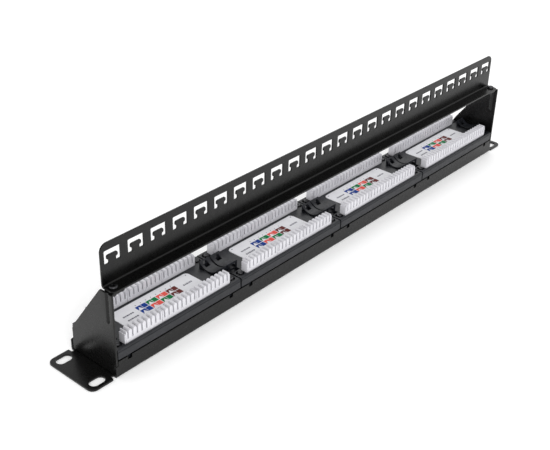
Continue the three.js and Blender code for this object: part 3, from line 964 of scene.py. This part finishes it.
def screw_mesh(node, size):
    """A pan head and its shank about the origin, with the head's seat at z = 0."""
    low, high = box_mm(node)
    radius, head, shank, dome = size["radius"], size["head"], size["shank"], size["dome"]
    length = high.z - head - low.z
    rim = head - dome
    crown = [
        (radius - dome * (1 - math.cos(a)), rim + dome * math.sin(a))
        for a in (math.radians(15 * k) for k in range(7))
    ]
    solid = lathe([
        (0, -length), (shank * 0.7, -length), (shank, -length + shank * 0.5), (shank, 0),
        (radius - 0.1, 0), (radius, 0.1), *crown, (0, head + 0.02),
    ])
    recess = cross_recess(radius * 0.62, head + 0.05, head * 0.7)
    return in_metres(node, outward(boolean(solid, recess, "DIFFERENCE")))


def build_screws():
    """The two bar screws share one mesh and the sixteen module screws another."""
    bar_mesh = screw_mesh("bar_screw_right", BAR_SCREW)
    module_mesh = screw_mesh("screw_upper_left_1", MODULE_SCREW)
    screws = [(f"bar_screw_{side}", bar_mesh, BAR_SCREW) for side in ("left", "right")]
    for i in range(MODULES):
        screws += [
            (f"screw_{row}_{side}_{i + 1}", module_mesh, MODULE_SCREW)
            for row in ("upper", "lower") for side in ("left", "right")
        ]
    for k, (node, mesh, size) in enumerate(screws):
        seat = box_mm(node)[1].z - size["head"]
        add_piece(
            f"{node}_piece", mesh, "screw_steel", [node], place=(*centre_mm(node), seat),
            turn=math.radians(SCREW_TURN * k),
        )


# ---------- plastic shells, sockets and what lies inside ----------
def cradle_void(end, inward):
    """The hollow below the thin trough that carries the cables at one end of a module."""
    half = CRADLE["half"]
    wall = CRADLE["wall"]
    radius = (half ** 2 + CRADLE["dip"] ** 2) / (2 * CRADLE["dip"])
    axis_z = CRADLE["top"] + radius - CRADLE["dip"]
    reach = half - wall
    arc = []
    for k in range(13):
        y = reach - 2 * reach * k / 12
        arc.append((y, axis_z - math.sqrt((radius + wall) ** 2 - y * y)))
    x0, x1 = sorted((
        end + inward * CRADLE["end_wall"], end + inward * (CRADLE["reach"] + CRADLE["past"]),
    ))
    return prism([(-reach, CRADLE["floor"]), (reach, CRADLE["floor"]), *arc], x0, x1)


def counterbores():
    """The sunk seats round the four screws of module 1."""
    deck = SHELL["deck"]
    floor = deck - COUNTERBORE["depth"]
    radius = COUNTERBORE["radius"]
    profile = [(0, floor), (radius, floor), (radius, deck + 1), (0, deck + 1)]
    return [
        moved(lathe(profile, 24), (*centre_mm(f"screw_{row}_{side}_1"), 0))
        for row in ("upper", "lower") for side in ("left", "right")
    ]


def shell_cutters(low, high):
    """What the back of module 1 has that its CAD shape leaves out, as solids to cut away."""
    deck = SHELL["deck"]
    cutters = []
    for edge in (-1, 1):
        y = edge * (high.y - SHELL["line_depth"])
        z = deck - SHELL["line_below"]
        cutters.append(block(
            (low.x - 1, min(y, 2 * y), z - SHELL["line_height"]), (high.x + 1, max(y, 2 * y), z),
        ))
    for end, inward in ((low.x, 1), (high.x, -1)):
        x0, x1 = sorted((end + inward * POCKET["near"], end + inward * POCKET["far"]))
        cutters.append(block(
            (x0, -POCKET["outer"], deck - POCKET["below"]),
            (x1, -POCKET["inner"], deck + POCKET["above"]),
        ))
        middle = end + inward * WIRE_PORT["middle"]
        cutters.append(block(
            (middle - WIRE_PORT["reach"], WIRE_PORT["inner"], WIRE_PORT["floor"]),
            (middle + WIRE_PORT["reach"], WIRE_PORT["outer"], CRADLE["top"] - WIRE_PORT["lintel"]),
        ))
        cutters.append(cradle_void(end, inward))
        x0, x1 = sorted((end - inward, end + inward * SEAM_RELIEF))
        cutters.append(block((x0, -30, low.z - 1), (x1, 30, high.z + 1)))
    return cutters + counterbores()


def build_shells():
    """The four shells share one mesh: module 1's CAD shape with its details cut in."""
    low, high = box_mm("module_shell_1")
    bm = cad_copy("module_shell_1")
    for cutter in shell_cutters(low, high):
        bm = boolean(bm, cutter, "DIFFERENCE")
    bm = flattened(moved(bm, (-(low.x + high.x) / 2, 0, 0)))
    mesh = in_metres("shell", bm)
    for i in range(MODULES):
        node = f"module_shell_{i + 1}"
        add_piece(
            f"shell_{i + 1}", mesh, "black_plastic", [node], bevel=PLASTIC_EDGE,
            place=(centre_mm(node)[0], 0, 0),
        )
        node = f"socket_block_{i + 1}"
        name = f"sockets_{i + 1}"
        sockets = in_metres(name, outward(flattened(cad_copy(node))))
        add_piece(name, sockets, "socket_plastic", [node], bevel=PLASTIC_EDGE)


def finish_cad_nodes():
    """CAD nodes that keep their shape get a better finish."""
    for i in range(MODULES):
        for kind, finish in (("circuit_board", "circuit_board"), ("contact_comb", "contact_gold")):
            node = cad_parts[f"{kind}_{i + 1}"]
            node.data.materials.clear()
            node.data.materials.append(MATERIALS[finish])


# ---------- stage ----------
def add_floor():
    bm = bmesh.new()
    bmesh.ops.create_grid(bm, x_segments=1, y_segments=1, size=6)
    floor = scratch_object(bm, "floor")
    floor.location.z = -0.0001
    made, _, principled = shader("floor", (0.97, 0.97, 0.97), 0.9)
    principled.inputs["Specular IOR Level"].default_value = 0.0
    principled.inputs["Emission Color"].default_value = (1, 1, 1, 1)
    principled.inputs["Emission Strength"].default_value = 0.12
    floor.data.materials.append(made)


def add_area(name, light):
    """A rectangular lamp that points at the origin."""
    data = bpy.data.lights.new(name, "AREA")
    data.shape = "RECTANGLE"
    data.size, data.size_y = light["size"]
    data.energy = light["power"]
    lamp = bpy.data.objects.new(name, data)
    lamp.location = light["place"]
    lamp.rotation_euler = (-Vector(light["place"])).to_track_quat("-Z", "Y").to_euler()
    bpy.context.scene.collection.objects.link(lamp)


def add_light():
    world = bpy.data.worlds.new("studio")
    world.use_nodes = True
    background = world.node_tree.nodes["Background"]
    background.inputs["Color"].default_value = (1.0, 1.0, 1.0, 1)
    background.inputs["Strength"].default_value = SKY_STRENGTH
    bpy.context.scene.world = world
    bpy.context.scene.view_settings.view_transform = "Standard"
    add_area("key", KEY)
    add_area("fill", FILL)


def add_camera():
    data = bpy.data.cameras.new("camera")
    data.sensor_width = CAMERA["sensor"]
    data.lens = CAMERA["lens"]
    data.shift_y = CAMERA["shift_y"]
    data.clip_start = 0.01
    data.clip_end = 20
    camera = bpy.data.objects.new("camera", data)
    camera.location = Vector(CAMERA["place"]) * MM
    roll = Quaternion((0, 0, 1), math.radians(CAMERA["roll"]))
    camera.rotation_mode = "QUATERNION"
    camera.rotation_quaternion = Vector(CAMERA["look"]).to_track_quat("-Z", "Y") @ roll
    bpy.context.scene.collection.objects.link(camera)
    bpy.context.scene.camera = camera


build_tray()
build_brackets()
build_bar()
build_strips()
build_labels()
build_screws()
build_shells()
finish_cad_nodes()
add_floor()
add_light()
add_camera()
